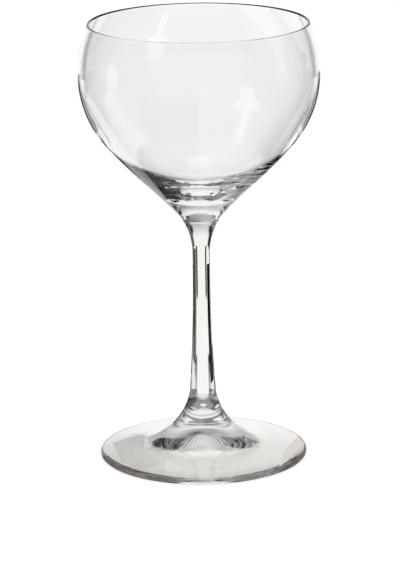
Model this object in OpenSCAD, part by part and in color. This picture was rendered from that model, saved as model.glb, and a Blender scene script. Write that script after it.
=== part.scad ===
// Nick and nora glass: a deep round bowl drawn in to a cone, a solid stem with a slim waist and a low spun foot.
// Millimetres, +Z up, the origin at the centre of the ring that the glass stands on.
// Every outline is half a section: [distance from the axis, height], turned round the axis.

/* [Bowl] */
// Widest diameter of the bowl
bowl_d = 78; // [70:0.1:86]
// Height of the widest ring above the seam between bowl and stem
widest_rise = 48.6; // [42:0.1:56]
// Height of the lip above the widest ring
lip_rise = 16.4; // [10:0.1:24]
// Outer diameter at the lip
lip_d = 71.4; // [64:0.1:76]
// Glass thickness at the lip and at the widest ring
wall = 0.85; // [0.7:0.05:1.6]
// Outer radius of the bowl's round shoulder, below the widest ring
shoulder_r = 34.5; // [30:0.1:39]
// Glass thickness between the floor of the bowl and the seam under it
base_t = 10.4; // [9:0.1:16]

/* [Neck of the bowl] */
// Diameter of the bowl's cone where it runs into the seam ring
neck_d = 12.8; // [12:0.1:15]
// Radius of the hollow between the cone and the seam ring
neck_hollow_r = 1.4; // [1:0.1:2]
// Radius of the soft ring of glass at the seam between bowl and stem
seam_ring_r = 0.9; // [0.5:0.05:1.2]

/* [Stem] */
// Length of the stem from seam to seam
stem_l = 57.9; // [45:0.1:75]
// Diameter of the stem at its slim waist
waist_d = 5.7; // [5:0.1:7]
// Length of the straight waist
waist_l = 5.2; // [3:0.1:10]
// Length of the flared head under the bowl
head_l = 10.8; // [8:0.1:14]
// Diameter of the stem at the seam with the foot
heel_d = 8.7; // [7.4:0.1:10]

/* [Foot] */
// Diameter of the foot
foot_d = 68; // [60:0.5:76]
// Height of the seam between stem and foot
foot_h = 21.1; // [18:0.1:26]
// Radius of the rounded edge of the foot
edge_r = 1.05; // [0.8:0.05:1.5]
// Radius of the flare between the stem and the low cone
flare_r = 21.9; // [18:0.1:26]
// Width of the flat ring that the glass stands on
rest_w = 1.9; // [1.2:0.1:3]
// Height of the bell-shaped hollow under the foot, on the axis
hollow_h = 7; // [4:0.1:9]

/* [Hidden] */
// Slope of the shoulder's end, from upright
shoulder_end_angle = 40;
// Slope of the cone where it meets the neck, from upright
neck_angle = 42;
// Slope at the top and at the foot of the seam ring, from upright
ring_top_angle = 8;
ring_end_angle = 50;
// Reach of the two handles of the bowl's inside curve, as shares of its radius and of its height up to the widest ring
floor_reach_share = 0.465;
side_reach_share = 0.482;
// Slope of the foot's low cone, from level
foot_cone_angle = 9.2;
// Slope of the hollow where it leaves the ring that the glass stands on, from level
hollow_angle = 5.5;
// Reach of the two handles of the hollow's curve, at the ring and at the axis, as shares of its radius
hollow_rim_share = 0.837;
hollow_crown_share = 0.2;
// Length of each handle of the cone's curve, as a share of the straight line between its ends
cone_handle_share = 0.4;
// Pieces in each arc and curve
arc_pieces = 16;
lip_pieces = 8;
inside_pieces = 30;
// Sides of the turned outlines
turn_sides = 96;

// Points on an arc round a centre, from one angle to another, counted from the outward direction
function arc(centre, r, from, to, pieces) =
    [for (i = [0 : pieces]) centre + r * [cos(from + (to - from) * i / pieces), sin(from + (to - from) * i / pieces)]];

// Points on a smooth curve between two ends, each with its own handle
function curve(a, a_handle, b_handle, b, pieces) =
    [for (i = [0 : pieces])
        let (t = i / pieces, s = 1 - t)
        s * s * s * a + 3 * s * s * t * a_handle + 3 * s * t * t * b_handle + t * t * t * b];

// Direction of a wall that leans by an angle from upright, drawing in as it goes down, and the direction square to it
function down_in(angle) = [-sin(angle), -cos(angle)];
function outward(angle) = [cos(angle), -sin(angle)];

function tail(points) = [for (i = [1 : len(points) - 1]) points[i]];
function reversed(points) = [for (i = [len(points) - 1 : -1 : 0]) points[i]];

// Heights of the two seams, the widest ring, the lip and the bowl's floor
foot_seam_z = foot_h;
bowl_seam_z = foot_seam_z + stem_l;
widest_z = bowl_seam_z + widest_rise;
lip_z = widest_z + lip_rise;
floor_z = bowl_seam_z + base_t;

// The seam ring, worked out downwards from the end of the cone
neck = [neck_d / 2, bowl_seam_z
    + neck_hollow_r * (sin(neck_angle) - sin(ring_top_angle))
    + seam_ring_r * (sin(ring_end_angle) - sin(ring_top_angle))];
neck_hollow_centre = neck + neck_hollow_r * outward(neck_angle);
ring_top = neck_hollow_centre - neck_hollow_r * outward(ring_top_angle);
seam_ring_centre = ring_top - seam_ring_r * outward(ring_top_angle);
ring_end = seam_ring_centre + seam_ring_r * outward(ring_end_angle);
// Radius of both pieces where the stem is fused under the bowl
bowl_seam_r = ring_end[0];

// The bowl's outside: lip curve, shoulder and cone
bowl_r = bowl_d / 2;
lip_in = bowl_r - lip_d / 2;
lip_curve_r = (lip_in * lip_in + lip_rise * lip_rise) / (2 * lip_in);
lip_angle = asin(lip_rise / lip_curve_r);
shoulder_centre = [bowl_r - shoulder_r, widest_z];
shoulder_end = shoulder_centre + shoulder_r * outward(shoulder_end_angle);
cone_l = norm(neck - shoulder_end);

// The bowl's inside: the same lip curve a wall further in, and one smooth curve from the floor to the widest ring
inner_r = bowl_r - wall;
inner_lip_r = lip_curve_r - wall;
inner_rise = widest_z - floor_z;
lip_centre = [bowl_r - lip_curve_r, widest_z];
lip_round_centre = lip_centre + (lip_curve_r - wall / 2) * [cos(lip_angle), sin(lip_angle)];

// The stem: a flared head, a straight waist and a long taper
waist_r = waist_d / 2;
heel_r = heel_d / 2;
waist_top_z = bowl_seam_z - head_l;
waist_end_z = waist_top_z - waist_l;
head_out = bowl_seam_r - waist_r;
head_curve_r = (head_out * head_out + head_l * head_l) / (2 * head_out);
taper_l = waist_end_z - foot_seam_z;
taper_out = heel_r - waist_r;
taper_curve_r = (taper_out * taper_out + taper_l * taper_l) / (2 * taper_out);

// The foot: a flare that touches the low cone, the cone, a round edge, a flat ring and the bell-shaped hollow
edge_centre = [foot_d / 2 - edge_r, edge_r];
cone_out = [sin(foot_cone_angle), cos(foot_cone_angle)];
cone_along = [cos(foot_cone_angle), -sin(foot_cone_angle)];
cone_end = edge_centre + edge_r * cone_out;
foot_seam = [heel_r, foot_seam_z];
seam_above_cone = (foot_seam - cone_end) * cone_out;
flare_start_along = (foot_seam - cone_end) * cone_along;
flare_end_along = flare_start_along + sqrt(flare_r * flare_r - pow(flare_r - seam_above_cone, 2));
flare_centre = cone_end + flare_end_along * cone_along + flare_r * cone_out;
flare_start_angle = atan2(foot_seam_z - flare_centre[1], heel_r - flare_centre[0]);
flare_end_angle = -90 - foot_cone_angle;
rest_inner_r = foot_d / 2 - edge_r - rest_w;
hollow_along = [-cos(hollow_angle), sin(hollow_angle)];

module turned(outline) {
    rotate_extrude($fn = turn_sides) polygon(outline);
}

// The thin bowl, solid below its floor
module bowl() {
    outside = concat(
        reversed(arc(lip_centre, lip_curve_r, 0, lip_angle, arc_pieces)),
        tail(arc(shoulder_centre, shoulder_r, 0, -shoulder_end_angle, arc_pieces)),
        tail(curve(
            shoulder_end,
            shoulder_end + cone_handle_share * cone_l * down_in(shoulder_end_angle),
            neck - cone_handle_share * cone_l * down_in(neck_angle),
            neck,
            arc_pieces)),
        tail(arc(neck_hollow_centre, neck_hollow_r, 180 - neck_angle, 180 - ring_top_angle, lip_pieces)),
        tail(arc(seam_ring_centre, seam_ring_r, -ring_top_angle, -ring_end_angle, lip_pieces)));
    inside = concat(
        curve(
            [0, floor_z],
            [floor_reach_share * inner_r, floor_z],
            [inner_r, widest_z - side_reach_share * inner_rise],
            [inner_r, widest_z],
            inside_pieces),
        tail(arc(lip_centre, inner_lip_r, 0, lip_angle, arc_pieces)));
    lip = arc(lip_round_centre, wall / 2, lip_angle + 180, lip_angle, lip_pieces);
    color([0.90, 0.92, 0.92, 0.35])
        turned(concat(outside, [[0, bowl_seam_z]], inside, tail(lip)));
}

// The solid stem between its two fused seams
module stem() {
    head = arc([waist_r + head_curve_r, waist_top_z], head_curve_r, 180 - asin(head_l / head_curve_r), 180, arc_pieces);
    taper = arc([waist_r + taper_curve_r, waist_end_z], taper_curve_r, 180, 180 + asin(taper_l / taper_curve_r), arc_pieces);
    color([0.86, 0.88, 0.88, 0.35])
        turned(concat(head, taper, [[0, foot_seam_z], [0, bowl_seam_z]]));
}

// The foot, hollow underneath, standing on its flat ring
module foot() {
    flare = arc(flare_centre, flare_r, flare_start_angle + 360, flare_end_angle + 360, arc_pieces);
    edge = arc(edge_centre, edge_r, 90 - foot_cone_angle, -90, lip_pieces);
    hollow = curve(
        [rest_inner_r, 0],
        [rest_inner_r, 0] + hollow_rim_share * rest_inner_r * hollow_along,
        [hollow_crown_share * rest_inner_r, hollow_h],
        [0, hollow_h],
        inside_pieces);
    color([0.88, 0.90, 0.90, 0.35])
        turned(concat(flare, edge, hollow, [[0, foot_seam_z]]));
}

bowl();
stem();
foot();
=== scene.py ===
import math

import bpy
import numpy as np
from mathutils import Matrix, Vector


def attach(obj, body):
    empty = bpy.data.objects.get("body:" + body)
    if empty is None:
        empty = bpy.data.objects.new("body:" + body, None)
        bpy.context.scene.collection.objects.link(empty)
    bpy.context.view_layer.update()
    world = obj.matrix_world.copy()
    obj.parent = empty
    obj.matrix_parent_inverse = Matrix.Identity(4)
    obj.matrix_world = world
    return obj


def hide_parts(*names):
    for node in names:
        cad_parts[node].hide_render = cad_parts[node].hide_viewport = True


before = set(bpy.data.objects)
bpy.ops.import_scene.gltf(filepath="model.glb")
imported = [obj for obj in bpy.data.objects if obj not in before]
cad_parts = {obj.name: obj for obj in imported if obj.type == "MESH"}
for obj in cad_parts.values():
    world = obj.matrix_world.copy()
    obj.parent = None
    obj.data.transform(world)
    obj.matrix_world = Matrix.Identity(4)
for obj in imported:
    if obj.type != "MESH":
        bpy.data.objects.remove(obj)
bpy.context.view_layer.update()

scene = bpy.context.scene
scene.view_settings.view_transform = "Standard"

# The camera stands a metre in front of the glass and looks slightly down on it.
# A long lens flattens the rings to the narrow ellipses of the photograph.
MM = 0.001
camera_away, camera_up = 1000 * MM, 329.6 * MM
aim_up, aim_aside = 57.35 * MM, -0.52 * MM
lens_angle = 10.25
roll = 0.75
sensor_h = 36
nearest, furthest = 0.05, 30

camera = bpy.data.objects.new("camera", bpy.data.cameras.new("camera"))
scene.collection.objects.link(camera)
camera.location = (aim_aside, -camera_away, camera_up)
sight = Vector((aim_aside, 0, aim_up)) - camera.location
upright = sight.to_track_quat("-Z", "Y").to_matrix().to_4x4()
camera.rotation_mode = "QUATERNION"
camera.rotation_quaternion = (Matrix.Rotation(math.radians(roll), 4, sight) @ upright).to_quaternion()
camera.data.sensor_fit = "VERTICAL"
camera.data.sensor_height = sensor_h
camera.data.lens = sensor_h / 2 / math.tan(math.radians(lens_angle / 2))
camera.data.clip_start, camera.data.clip_end = nearest, furthest
camera.data.dof.use_dof = False
scene.camera = camera


# The bowl is blown from clear crystal: a thin round wall that thickens into a solid cone over the stem.
# Its lip is fire-polished to a full round, and a soft ring of glass marks where the stem was joined.
# Lengths are in millimetres, and angles in degrees from upright.
bowl_d, widest_rise, lip_rise, lip_d = 78, 48.6, 16.4, 71.4
wall, shoulder_r = 0.85, 34.5
base_t, floor_reach_share, side_reach_share = 10.4, 0.465, 0.482
neck_d, neck_hollow_r, seam_ring_r = 12.8, 1.4, 0.9
shoulder_end_angle, neck_angle, ring_top_angle, ring_end_angle = 40, 42, 8, 50
cone_handle_share = 0.4
stem_seam_up, bowl_seam_up = 21.1, 79
# Straight pieces in each curve of the bowl's outline, and sides of everything that is turned
lip_steps, shoulder_steps, cone_steps, neck_steps, ring_steps = 24, 40, 56, 12, 14
inside_steps, rim_steps = 96, 16
turned_sides = 288


def sine(angle):
    return math.sin(math.radians(angle))


def cosine(angle):
    return math.cos(math.radians(angle))


def outward(angle):
    """Direction square to a wall that leans by an angle from upright, drawing in as it goes down."""
    return np.array([cosine(angle), -sine(angle)])


def down_in(angle):
    """Direction down along that wall."""
    return -np.array([sine(angle), cosine(angle)])


def arc(centre, r, start, end, steps):
    """Points on an arc round a centre, from one angle to another, counted from the outward direction."""
    turn = np.radians(np.linspace(start, end, steps + 1))
    return np.array(centre) + r * np.stack([np.cos(turn), np.sin(turn)], 1)


def drawn(a, a_handle, b_handle, b, steps):
    """Points on a smooth curve between two ends, each with its own handle."""
    t = np.linspace(0, 1, steps + 1)[:, None]
    s = 1 - t
    return s**3 * a + 3 * s * s * t * a_handle + 3 * s * t * t * b_handle + t**3 * b


class Reading:
    """A socket of a node tree. Sums on it read as sums, and each operator adds its Math node."""

    def __init__(self, bench, socket):
        self.bench, self.socket = bench, socket

    def maths(self, operation, *others):
        """This value through a Math node, with any others after it."""
        return self.bench.maths(operation, self, *others)

    def __add__(self, other):
        return self.bench.maths("ADD", self, other)

    def __radd__(self, other):
        return self.bench.maths("ADD", other, self)

    def __sub__(self, other):
        return self.bench.maths("SUBTRACT", self, other)

    def __rsub__(self, other):
        return self.bench.maths("SUBTRACT", other, self)

    def __mul__(self, other):
        return self.bench.maths("MULTIPLY", self, other)

    def __rmul__(self, other):
        return self.bench.maths("MULTIPLY", other, self)

    def __truediv__(self, other):
        return self.bench.maths("DIVIDE", self, other)

    def __rtruediv__(self, other):
        return self.bench.maths("DIVIDE", other, self)

    def beside(self, name):
        """Another output of the same node."""
        return Reading(self.bench, self.socket.node.outputs[name])

    def parts(self):
        """The X, Y and Z of a vector."""
        x = self.bench.node("ShaderNodeSeparateXYZ", {}, {"Vector": self})
        return x, x.beside("Y"), x.beside("Z")


class Bench:
    """A node tree, and the one way that nodes are put into it."""

    def __init__(self, tree):
        self.tree = tree

    def node(self, kind, settings=None, inputs=None):
        """Adds a node: its settings first, then a value or a link for each socket named or numbered.

        Gives its first output that is on.
        """
        made = self.tree.nodes.new(kind)
        for name, value in (settings or {}).items():
            setattr(made, name, value)
        for name, value in (inputs or {}).items():
            if isinstance(value, Reading):
                self.tree.links.new(value.socket, made.inputs[name])
            else:
                made.inputs[name].default_value = value
        shown = [socket for socket in made.outputs if socket.enabled]
        return Reading(self, shown[0]) if shown else None

    def maths(self, operation, *terms):
        return self.node("ShaderNodeMath", {"operation": operation}, dict(enumerate(terms)))


def glass_maker(name):
    """An empty material and the bench for its nodes."""
    finish = bpy.data.materials.new(name)
    finish.use_nodes = True
    finish.node_tree.nodes.clear()
    return finish, Bench(finish.node_tree)


# The finish of all three pieces: colourless crystal, fire-polished. It is worked soft, so that it is never quite
# even: broad swells a few millimetres across, and fine upright draw lines. The thick glass near the axis shows them,
# the thin wall hardly does.
colourless = (1, 1, 1, 1)
crystal_ior = 1.52
swell_w, swell_h, swell_detail = 6, 9, 1
draw_line_w, draw_line_h, draw_line_detail = 0.8, 14, 2
draw_line_share = 0.05
unevenness = 0.08
core_r, thin_r, left_on_thin = 12, 28, 0.2

crystal, bench = glass_maker("clear_crystal")
place_x, place_y, place_z = bench.node("ShaderNodeTexCoord").beside("Object").parts()


def worked(across, along, detail):
    """Noise with swells of one size across the glass and another along its axis, both in millimetres."""
    stretched = bench.node("ShaderNodeCombineXYZ", {}, {
        "X": place_x / (across * MM), "Y": place_y / (across * MM), "Z": place_z / (along * MM)})
    return bench.node("ShaderNodeTexNoise", {}, {
        "Vector": stretched, "Scale": 1.0, "Detail": detail, "Roughness": 0.5})


swells = worked(swell_w, swell_h, swell_detail)
draw_lines = worked(draw_line_w, draw_line_h, draw_line_detail)
from_axis = (place_x * place_x + place_y * place_y).maths("SQRT")
thick = bench.node("ShaderNodeMapRange", {"interpolation_type": "SMOOTHSTEP"}, {
    "Value": from_axis, "From Min": core_r * MM, "From Max": thin_r * MM, "To Min": 1.0, "To Max": left_on_thin})
worked_face = bench.node("ShaderNodeBump", {}, {
    "Height": (swells + draw_lines * draw_line_share) * thick, "Distance": unevenness * MM, "Strength": 1.0})
surface = bench.node("ShaderNodeBsdfPrincipled", {}, {
    "Base Color": colourless, "Roughness": 0.0, "IOR": crystal_ior, "Transmission Weight": 1.0,
    "Normal": worked_face})
bench.node("ShaderNodeOutputMaterial", {}, {"Surface": surface})

# Where two pieces are fused there is no surface left, so light passes straight on
fused, bench = glass_maker("fused_seam")
bench.node("ShaderNodeOutputMaterial", {}, {
    "Surface": bench.node("ShaderNodeBsdfTransparent", {}, {"Color": colourless})})


# Two points closer than this are one, an edge with a sharper bend than this is a corner, and this close to the
# height of a seam a level face belongs to it. Without a seam its height is where no piece reaches.
join_within, sharp_from, seam_reach = 0.0003 * MM, math.radians(12), 0.001 * MM
no_seam = -1.0


def turning_tree():
    """Turns half a section round the upright axis: the outline's points become rows, and each row a ring."""
    tree = bpy.data.node_groups.new("turning", "GeometryNodeTree")
    tree.is_modifier = True
    for name, kind in (
        ("Outline", "Geometry"), ("Sides", "Int"), ("Join within", "Float"), ("Sharp from", "Float"),
        ("Lower seam", "Float"), ("Upper seam", "Float"), ("Ribs", "Int"), ("Rib height", "Float"),
        ("Glass", "Material"), ("Fused", "Material"),
    ):
        tree.interface.new_socket(name, in_out="INPUT", socket_type="NodeSocket" + kind)
    tree.interface.new_socket("Turned", in_out="OUTPUT", socket_type="NodeSocketGeometry")
    bench = Bench(tree)
    given = bench.node("NodeGroupInput")
    outline, sides = given.beside("Outline"), given.beside("Sides")

    # A flat grid with a row for each point of the outline, and one more point in each row than the ring has sides
    rows = bench.node("GeometryNodeAttributeDomainSize", {"component": "MESH"}, {"Geometry": outline})
    ring = sides + 1
    grid = bench.node("GeometryNodeMeshGrid", {}, {"Vertices X": rows, "Vertices Y": ring})
    index = bench.node("GeometryNodeInputIndex")
    row = ((index + 0.5) / ring).maths("FLOOR")
    turn = (index - row * ring) * (2 * math.pi) / sides

    def of_row(data_type, value):
        """What the outline holds at the point of this row."""
        return bench.node("GeometryNodeSampleIndex", {"data_type": data_type}, {
            "Geometry": outline, "Value": value, "Index": row})

    # Each row is bent into its ring, and ribs lift it and let it down in turn
    out, _, up = of_row("FLOAT_VECTOR", bench.node("GeometryNodeInputPosition")).parts()
    ribbed = of_row("FLOAT", bench.node(
        "GeometryNodeInputNamedAttribute", {"data_type": "FLOAT"}, {"Name": "ribbed"}))
    wave = (turn * given.beside("Ribs")).maths("COSINE") * given.beside("Rib height") * ribbed
    bent = bench.node("ShaderNodeCombineXYZ", {}, {
        "X": out * turn.maths("COSINE"), "Y": out * turn.maths("SINE"), "Z": up + wave})
    shape = bench.node("GeometryNodeSetPosition", {}, {"Geometry": grid, "Position": bent})
    shape = bench.node("GeometryNodeMergeByDistance", {}, {
        "Geometry": shape, "Distance": given.beside("Join within")})

    # The glass shades smooth, but for true corners
    shape = bench.node("GeometryNodeSetShadeSmooth", {"domain": "FACE"}, {"Geometry": shape, "Shade Smooth": True})
    corner = bench.node("FunctionNodeCompare", {"data_type": "FLOAT", "operation": "GREATER_THAN"}, {
        "A": bench.node("GeometryNodeInputMeshEdgeAngle"), "B": given.beside("Sharp from")})
    shape = bench.node("GeometryNodeSetShadeSmooth", {"domain": "EDGE"}, {
        "Geometry": shape, "Selection": corner, "Shade Smooth": False})

    # Level faces at the height of a seam are fused, and all others are glass
    shape = bench.node("GeometryNodeRealizeInstances", {}, {"Geometry": shape})
    shape = bench.node("GeometryNodeSetMaterial", {}, {"Geometry": shape, "Material": given.beside("Glass")})
    face_up = bench.node("GeometryNodeInputPosition").parts()[2]
    for seam in ("Lower seam", "Upper seam"):
        at_seam = bench.node("FunctionNodeCompare", {"data_type": "FLOAT", "operation": "EQUAL"}, {
            "A": face_up, "B": given.beside(seam), "Epsilon": seam_reach})
        shape = bench.node("GeometryNodeSetMaterial", {}, {
            "Geometry": shape, "Selection": at_seam, "Material": given.beside("Fused")})
    bench.node("NodeGroupOutput", {}, {"Turned": shape})
    return tree


turning = turning_tree()


def turned(name, outline, ribbed=None, **sizes):
    """A closed piece of glass from half a section in millimetres.

    ribbed is the share of the ribs at each point of the outline, and sizes are the tree's named inputs.
    """
    mesh = bpy.data.meshes.new(name)
    points = [(x * MM, 0, z * MM) for x, z in outline]
    mesh.from_pydata(points, [(i, i + 1) for i in range(len(points) - 1)], [])
    mesh.attributes.new("ribbed", "FLOAT", "POINT").data.foreach_set(
        "value", np.zeros(len(points), np.float32) if ribbed is None else np.asarray(ribbed, np.float32))
    piece = bpy.data.objects.new(name, mesh)
    scene.collection.objects.link(piece)
    modifier = piece.modifiers.new("turning", "NODES")
    modifier.node_group = turning
    given = {
        "Sides": turned_sides, "Join within": join_within, "Sharp from": sharp_from,
        "Lower seam": no_seam, "Upper seam": no_seam, "Ribs": 0, "Rib height": 0.0,
        "Glass": crystal, "Fused": fused, **sizes}
    for socket in turning.interface.items_tree:
        if socket.in_out == "INPUT" and socket.name in given:
            modifier[socket.identifier] = given[socket.name]
    finished = bpy.data.meshes.new_from_object(piece.evaluated_get(bpy.context.evaluated_depsgraph_get()))
    piece.modifiers.clear()
    piece.data = finished
    bpy.data.meshes.remove(mesh)
    finished.name = name
    return piece


# The seam ring is worked out downwards from the end of the cone
neck = np.array([neck_d / 2, bowl_seam_up + neck_hollow_r * (sine(neck_angle) - sine(ring_top_angle))
                 + seam_ring_r * (sine(ring_end_angle) - sine(ring_top_angle))])
neck_hollow_centre = neck + neck_hollow_r * outward(neck_angle)
ring_centre = neck_hollow_centre - (neck_hollow_r + seam_ring_r) * outward(ring_top_angle)
seam_r = (ring_centre + seam_ring_r * outward(ring_end_angle))[0]

bowl_r, widest_up = bowl_d / 2, bowl_seam_up + widest_rise
lip_in = bowl_r - lip_d / 2
lip_curve_r = (lip_in**2 + lip_rise**2) / (2 * lip_in)
lip_angle = math.degrees(math.asin(lip_rise / lip_curve_r))
lip_centre = np.array([bowl_r - lip_curve_r, widest_up])
shoulder_centre = np.array([bowl_r - shoulder_r, widest_up])
shoulder_end = shoulder_centre + shoulder_r * outward(shoulder_end_angle)
handle = cone_handle_share * np.linalg.norm(neck - shoulder_end)
cone = drawn(
    shoulder_end,
    shoulder_end + handle * down_in(shoulder_end_angle),
    neck - handle * down_in(neck_angle),
    neck,
    cone_steps)
outside = np.vstack([
    arc(lip_centre, lip_curve_r, lip_angle, 0, lip_steps),
    arc(shoulder_centre, shoulder_r, 0, -shoulder_end_angle, shoulder_steps)[1:],
    cone[1:],
    arc(neck_hollow_centre, neck_hollow_r, 180 - neck_angle, 180 - ring_top_angle, neck_steps)[1:],
    arc(ring_centre, seam_ring_r, -ring_top_angle, -ring_end_angle, ring_steps)[1:],
])

inner_r, floor_up = bowl_r - wall, bowl_seam_up + base_t
inside = np.vstack([
    drawn(
        np.array([0, floor_up]),
        np.array([inner_r * floor_reach_share, floor_up]),
        np.array([inner_r, widest_up - (widest_up - floor_up) * side_reach_share]),
        np.array([inner_r, widest_up]),
        inside_steps),
    arc(lip_centre, lip_curve_r - wall, 0, lip_angle, lip_steps)[1:],
])
rim_centre = lip_centre + (lip_curve_r - wall / 2) * np.array([cosine(lip_angle), sine(lip_angle)])
rim = arc(rim_centre, wall / 2, lip_angle + 180, lip_angle, rim_steps)

bowl_outline = np.vstack([outside, [[0, bowl_seam_up]], inside, rim[1:]])
bowl = turned("bowl_glass", bowl_outline, **{"Lower seam": bowl_seam_up * MM})
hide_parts("bowl")
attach(bowl, "root")


# The stem is a solid rod, drawn from the same crystal, with a slim waist under its flared head.
# It is fused to the bowl above and swells softly down to the foot.
waist_d, waist_l, head_l, heel_d = 5.7, 5.2, 10.8, 8.7
head_steps, waist_steps, taper_steps = 40, 4, 48


def straight(a, b, steps):
    """Points on a straight line, ends included."""
    t = np.linspace(0, 1, steps + 1)[:, None]
    return (1 - t) * np.array(a, float) + t * np.array(b, float)


waist_r, heel_r = waist_d / 2, heel_d / 2
waist_top_up = bowl_seam_up - head_l
waist_end_up = waist_top_up - waist_l
head_out = seam_r - waist_r
head_curve_r = (head_out**2 + head_l**2) / (2 * head_out)
head_angle = math.degrees(math.asin(head_l / head_curve_r))
taper_l, taper_out = waist_end_up - stem_seam_up, heel_r - waist_r
taper_curve_r = (taper_out**2 + taper_l**2) / (2 * taper_out)
taper_angle = math.degrees(math.asin(taper_l / taper_curve_r))
stem_outline = np.vstack([
    [[0, bowl_seam_up]],
    arc((waist_r + head_curve_r, waist_top_up), head_curve_r, 180 - head_angle, 180, head_steps),
    straight((waist_r, waist_top_up), (waist_r, waist_end_up), waist_steps)[1:-1],
    arc((waist_r + taper_curve_r, waist_end_up), taper_curve_r, 180, 180 + taper_angle, taper_steps),
    [[0, stem_seam_up]],
])
stem = turned("stem_glass", stem_outline, **{"Lower seam": stem_seam_up * MM, "Upper seam": bowl_seam_up * MM})
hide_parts("stem")
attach(stem, "root")


# The foot is pressed and spun from the same crystal: a flare under the stem runs out into a low cone with a
# rounded edge. Underneath it is hollow like a low bell, and it rests on a narrow ring. Its top is fused to the stem.
# The slopes of its cone and of the hollow are in degrees from level.
foot_d, edge_r, flare_r, foot_cone_angle = 68, 1.05, 21.9, 9.2
rest_w, hollow_h, hollow_angle, hollow_rim_share, hollow_crown_share = 1.9, 7, 5.5, 0.837, 0.2
flare_steps, cone_top_steps, edge_steps, rest_steps, hollow_steps = 64, 12, 32, 2, 80
# Faint ribs run outwards under the crown of the hollow, from the mould that it was pressed on. They rise and fade
# between these distances from the axis.
ribs, rib_h = 48, 0.012
ribs_from, ribs_full, ribs_fade, ribs_to = 2, 5, 8.5, 12.5

edge_centre = np.array([foot_d / 2 - edge_r, edge_r])
cone_out = np.array([sine(foot_cone_angle), cosine(foot_cone_angle)])
cone_along = np.array([cone_out[1], -cone_out[0]])
cone_end = edge_centre + edge_r * cone_out
foot_seam = np.array([heel_r, stem_seam_up])
seam_above_cone = (foot_seam - cone_end) @ cone_out
flare_end_along = (foot_seam - cone_end) @ cone_along + math.sqrt(flare_r**2 - (flare_r - seam_above_cone) ** 2)
flare_centre = cone_end + flare_end_along * cone_along + flare_r * cone_out
flare_start = math.degrees(math.atan2(stem_seam_up - flare_centre[1], heel_r - flare_centre[0])) + 360
flare = arc(flare_centre, flare_r, flare_start, 270 - foot_cone_angle, flare_steps)
edge = arc(edge_centre, edge_r, 90 - foot_cone_angle, -90, edge_steps)
rest_inner_r = foot_d / 2 - edge_r - rest_w
rest_inner = np.array([rest_inner_r, 0.0])
hollow = drawn(
    rest_inner,
    rest_inner + rest_inner_r * hollow_rim_share * np.array([-cosine(hollow_angle), sine(hollow_angle)]),
    np.array([rest_inner_r * hollow_crown_share, hollow_h]),
    np.array([0, hollow_h]),
    hollow_steps)
foot_outline = np.vstack([
    [[0, stem_seam_up]],
    flare,
    straight(flare[-1], edge[0], cone_top_steps)[1:-1],
    edge,
    straight(edge[-1], rest_inner, rest_steps)[1:],
    hollow[1:],
])
outline_r = foot_outline[:, 0]
near_crown = (np.clip((ribs_to - outline_r) / (ribs_to - ribs_fade), 0, 1)
              * np.clip((outline_r - ribs_from) / (ribs_full - ribs_from), 0, 1))
near_crown[:-len(hollow)] = 0
foot = turned(
    "foot_glass", foot_outline, near_crown,
    **{"Upper seam": stem_seam_up * MM, "Ribs": ribs, "Rib height": rib_h * MM})
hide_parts("foot")
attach(foot, "root")


# The studio: a white backdrop and a white table straight behind the glass, and a room that falls off beside them.
# The camera sees plain white. What the glass bends or mirrors is the room, written once, by compass and rise.
# Compass is counted from straight behind the glass towards its right, rise from level, both in degrees.
warm_white, plain_white = (1, 0.985, 0.965, 1), (1, 1, 1, 1)
as_degrees = 180 / math.pi


def soft(value, start, end, before=0.0, after=1.0):
    """A soft step from one value to another, between a start and an end."""
    return value.bench.node("ShaderNodeMapRange", {"interpolation_type": "SMOOTHSTEP"}, {
        "Value": value, "From Min": start, "From Max": end, "To Min": before, "To Max": after})


def band(value, start, end, blur):
    """One between two values, nought outside them, with soft ends."""
    return soft(value, start - blur, start + blur) * soft(value, end - blur, end + blur, 1, 0)


def blend(under, over, share):
    """One brightness laid over another by a share."""
    return under + (over - under) * share


world = bpy.data.worlds.new("studio")
scene.world = world
world.use_nodes = True
world.node_tree.nodes.clear()
bench = Bench(world.node_tree)
look_x, look_y, look_z = bench.node("ShaderNodeTexCoord").beside("Generated").parts()
compass = look_x.maths("ARCTAN2", look_y) * as_degrees
rise = look_z.maths("ARCSINE") * as_degrees
aside = compass.maths("ABSOLUTE")

# Above the table there are dim walls, a lit backdrop with a black gap on each side of it, and a grey ceiling.
# A pair is where a step or a band starts and ends, in degrees, and a glow is a brightness, where 1 is white.
wall_turn, left_wall_glow, right_wall_glow = (-65, 40), 0.26, 0.03
front_wall, front_wall_glow = (120, 150), 0.3
gap, gap_blur, gap_glow = (25, 57), 3, 0.01
backdrop_fade, backdrop_low_glow, backdrop_high_glow = (2, 22), 0.97, 0.66
backdrop_side, backdrop_narrows, narrows_by = (29, 37), (8, 18), 8
ceiling_edge, ceiling_turn, left_ceiling_glow, right_ceiling_glow = (26, 46), (-30, 60), 0.5, 0.08

walls = soft(compass, *wall_turn, left_wall_glow, right_wall_glow)
walls = blend(walls, front_wall_glow, soft(aside, *front_wall))
walls = blend(walls, gap_glow, band(aside, *gap, gap_blur))
backdrop = soft(rise, *backdrop_fade, backdrop_low_glow, backdrop_high_glow)
on_backdrop = soft(aside + soft(rise, *backdrop_narrows, 0, narrows_by), *backdrop_side, 1, 0)
ceiling = soft(compass, *ceiling_turn, left_ceiling_glow, right_ceiling_glow)
above = blend(walls, backdrop, on_backdrop)
above = blend(above, ceiling, soft(rise, *ceiling_edge))

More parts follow.
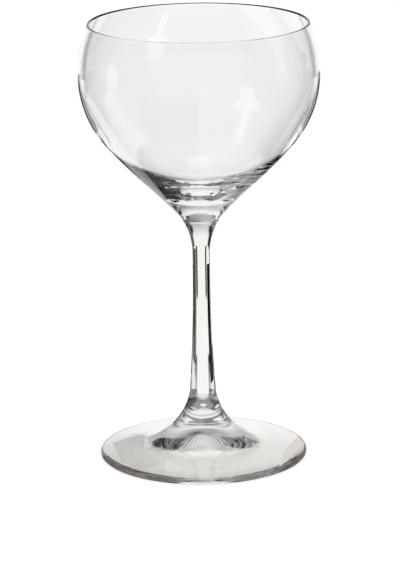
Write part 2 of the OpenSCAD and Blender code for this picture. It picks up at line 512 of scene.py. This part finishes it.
# The table is dim at the sides and grey in front, with a pale patch low on the right, and white straight behind the
# glass. Along its far edge it is black beside the white and grey further round, with a light line just under that.
side_fade, side_low_glow, side_glow = (-64, -50), 0.37, 0.12
table_front, table_front_glow = (105, 140), 0.35
patch_rise, patch_rise_blur, patch_compass, patch_compass_blur, patch_glow = (-60, -46), 2, (26, 50), 4, 0.75
white_side, white_fade, white_low_glow, white_glow = (18, 27), (-80, -42), 0.6, 1.0
far_rise, far_rise_blur = (-21.5, -11), 0.7
far_grey, far_grey_blur, far_grey_glow = (59, 115), 3, 0.5
far_black, far_black_blur, far_black_glow = (25, 58), 2, 0.0
line_rise, line_aside, line_aside_blur, line_glow = (-24.5, -21.3), (27, 62), 3, 0.85
table_edge = (-12, -9.5)

far_edge = band(rise, *far_rise, far_rise_blur)
patch = band(rise, *patch_rise, patch_rise_blur) * band(compass, *patch_compass, patch_compass_blur)
line = band(rise, *line_rise, far_rise_blur) * band(aside, *line_aside, line_aside_blur)
table = soft(rise, *side_fade, side_low_glow, side_glow)
table = blend(table, table_front_glow, soft(aside, *table_front))
table = blend(table, patch_glow, patch)
table = blend(table, soft(rise, *white_fade, white_low_glow, white_glow), soft(aside, *white_side, 1, 0))
table = blend(table, far_grey_glow, far_edge * band(aside, *far_grey, far_grey_blur))
table = blend(table, far_black_glow, far_edge * band(aside, *far_black, far_black_blur))
table = blend(table, line_glow, line)
room = blend(above, table, soft(rise, *table_edge, 1, 0))

# Round white screens towards which the glass is also looked at from its other sides: compass, rise, radius
screens = ((-45, -25, 5.5), (-50, -40, 11), (-90, -3, 8), (135, -12, 8), (0, -90, 8))
screen_blur, screen_glow = 1, 1.0
for screen_compass, screen_rise, screen_r in screens:
    to_x = sine(screen_compass) * cosine(screen_rise)
    to_y = cosine(screen_compass) * cosine(screen_rise)
    near_screen = look_x * to_x + look_y * to_y + look_z * sine(screen_rise)
    on_screen = soft(near_screen, cosine(screen_r + screen_blur), cosine(screen_r - screen_blur))
    room = blend(room, screen_glow, on_screen)

# Matt surfaces are lit evenly, and glass sees the room
even_light = 0.5
path = bench.node("ShaderNodeLightPath")
sky = bench.node("ShaderNodeBackground", {}, {
    "Color": warm_white, "Strength": blend(room, even_light, path.beside("Is Diffuse Ray"))})
plain_sky = bench.node("ShaderNodeBackground", {}, {"Color": plain_white, "Strength": 1.0})
bench.node("ShaderNodeOutputWorld", {}, {
    "Surface": bench.node("ShaderNodeMixShader", {}, {0: path.beside("Is Camera Ray"), 1: sky, 2: plain_sky})})


# The table top is a matt white sheet that takes the shadow. Rays that the glass has bent or mirrored see a white
# board lying on it, crossed by a dark strip on each side, with a dark gap beyond it. Close round the foot, and far
# off, they go on to the room's own table, through a painted shade under the foot.
sheet_half, sheet_drop = 4, 0.02 * MM
top_colour, top_glow = (0.8, 0.8, 0.8, 1), 0.7
board_reach, board_reach_blur = (93.5, 680), 3.5
board_side, board_glow, board_gap_end, board_gap_glow = (40, 46), 1.0, (54, 60), 0.05
top_turn, left_top_glow, right_top_glow = (-60, 40), 0.45, 0.04
top_front, top_front_glow = (110, 130), 0.06
strip, strip_blur, strip_near_end, strip_glow = (18.5, 26.5), 1.2, (170, 190), 0.0

corners = [(-sheet_half, -sheet_half), (sheet_half, -sheet_half), (sheet_half, sheet_half), (-sheet_half, sheet_half)]
floor_mesh = bpy.data.meshes.new("table_top")
floor_mesh.from_pydata([(x, y, -sheet_drop) for x, y in corners], [], [(0, 1, 2, 3)])
floor = bpy.data.objects.new("table_top", floor_mesh)
scene.collection.objects.link(floor)
white_top, bench = glass_maker("white_table")
place_x, place_y, _ = bench.node("ShaderNodeTexCoord").beside("Object").parts()
spot_x, spot_y = place_x / MM, place_y / MM
reach = (spot_x * spot_x + spot_y * spot_y).maths("SQRT")
spot_compass = spot_x.maths("ARCTAN2", spot_y) * as_degrees
spot_aside = spot_compass.maths("ABSOLUTE")

dim_top = blend(
    soft(spot_compass, *top_turn, left_top_glow, right_top_glow), top_front_glow, soft(spot_aside, *top_front))
board = blend(soft(spot_aside, *board_side, board_glow, board_gap_glow), dim_top, soft(spot_aside, *board_gap_end))
strips = band(spot_aside, *strip, strip_blur) * soft(reach, *strip_near_end)
seen_by_glass = blend(board, strip_glow, strips)

# White papers lie where the glass is looked through from its other sides: compass, both ends and both half widths.
# Far off each is wider, and the step between its half widths is at the same distance on all of them.
papers = ((-45, 92, 420, 50, 56), (-90, 80, 700, 46, 60), (135, 90, 700, 12, 70))
paper_widens, paper_end_blur, paper_side_blur, paper_glow = (240, 290), 8, 3, 1.0
for paper_compass, near_end, far_end, slim, wide in papers:
    along = spot_x * sine(paper_compass) + spot_y * cosine(paper_compass)
    across = spot_x * cosine(paper_compass) - spot_y * sine(paper_compass)
    past_side = across.maths("ABSOLUTE") - soft(along, *paper_widens, slim, wide)
    within_sides = soft(past_side, -paper_side_blur, paper_side_blur, 1, 0)
    seen_by_glass = blend(seen_by_glass, paper_glow, band(along, near_end, far_end, paper_end_blur) * within_sides)

# The painted shade under the foot, standing in for its shadow: lighter towards the back, and a little warmer where it
# is deep
shade_edge, shade_run, shade_front, shade_back = (33, 39), (-25, 28), 0.76, 0.97
deepest, deep_green, deep_blue = 0.7, 0.99, 0.975
shade = blend(1.0, soft(spot_y, *shade_run, shade_front, shade_back), soft(reach, *shade_edge, 1, 0))
shade_tint = bench.node("ShaderNodeCombineColor", {}, {
    "Red": shade,
    "Green": shade * soft(shade, deepest, 1, deep_green, 1),
    "Blue": shade * soft(shade, deepest, 1, deep_blue, 1)})
open_below = bench.node("ShaderNodeBsdfTransparent", {}, {"Color": shade_tint})
board_light = bench.node("ShaderNodeEmission", {}, {"Color": warm_white, "Strength": seen_by_glass})
below = bench.node("ShaderNodeMixShader", {}, {
    0: band(reach, *board_reach, board_reach_blur), 1: open_below, 2: board_light})
matt = bench.node("ShaderNodeBsdfDiffuse", {}, {"Color": top_colour})
lit = bench.node("ShaderNodeEmission", {}, {"Color": plain_white, "Strength": top_glow})
plain_top = bench.node("ShaderNodeAddShader", {}, {0: matt, 1: lit})
path = bench.node("ShaderNodeLightPath")
through_glass = path.beside("Is Glossy Ray").maths("MAXIMUM", path.beside("Is Transmission Ray"))
bench.node("ShaderNodeOutputMaterial", {}, {
    "Surface": bench.node("ShaderNodeMixShader", {}, {0: through_glass, 1: plain_top, 2: below})})
floor_mesh.materials.append(white_top)


# Two black paper cards behind the glass, bent round it, give the stem its black edges: a near one held off the
# table on the left, and a farther one standing on it on the right. Only the glass sees them. The right one glows
# with painted light, warm on its inner edge and cool along the table.
cards = (("card_left", -1, 40, 8, 54), ("card_right", 1, 86, 0, 57))
card_from, bend_step, bends = 27, 2, 14
warm_light, warm_glow, warm_edge, warm_blur = (1, 0.58, 0.36, 1), 0.22, (26, 35), 2
cool_light, cool_glow, cool_side, cool_up = (0.42, 0.62, 1, 1), 0.14, (36, 42), (4, 14)

card_black, bench = glass_maker("black_card")
place_x, place_y, place_z = bench.node("ShaderNodeTexCoord").beside("Object").parts()
spot_compass, spot_up = place_x.maths("ARCTAN2", place_y) * as_degrees, place_z / MM
# Painted light on the right card: a warm glow on its inner edge and a cool glow low along the table
warm = bench.node("ShaderNodeEmission", {}, {
    "Color": warm_light, "Strength": warm_glow * band(spot_compass, *warm_edge, warm_blur)})
cool = bench.node("ShaderNodeEmission", {}, {
    "Color": cool_light, "Strength": cool_glow * soft(spot_compass, *cool_side) * soft(spot_up, *cool_up, 1, 0)})
bench.node("ShaderNodeOutputMaterial", {}, {
    "Surface": bench.node("ShaderNodeAddShader", {}, {0: warm, 1: cool})})
for name, side, away, low, high in cards:
    turns = [side * (card_from + bend_step * i) for i in range(bends + 1)]
    card_mesh = bpy.data.meshes.new(name)
    card_mesh.from_pydata(
        [(away * MM * sine(turn), away * MM * cosine(turn), up * MM) for turn in turns for up in (low, high)], [],
        [(2 * i, 2 * i + 2, 2 * i + 3, 2 * i + 1) for i in range(bends)])
    card_mesh.materials.append(card_black)
    card = bpy.data.objects.new(name, card_mesh)
    scene.collection.objects.link(card)
    card.visible_camera = card.visible_diffuse = card.visible_shadow = False

# Light crosses many faces of thick glass before it comes out
most_faces, most_mirrors = 32, 24
scene.cycles.max_bounces = most_faces
scene.cycles.glossy_bounces = most_mirrors
scene.cycles.transmission_bounces = most_faces
scene.cycles.transparent_max_bounces = most_faces
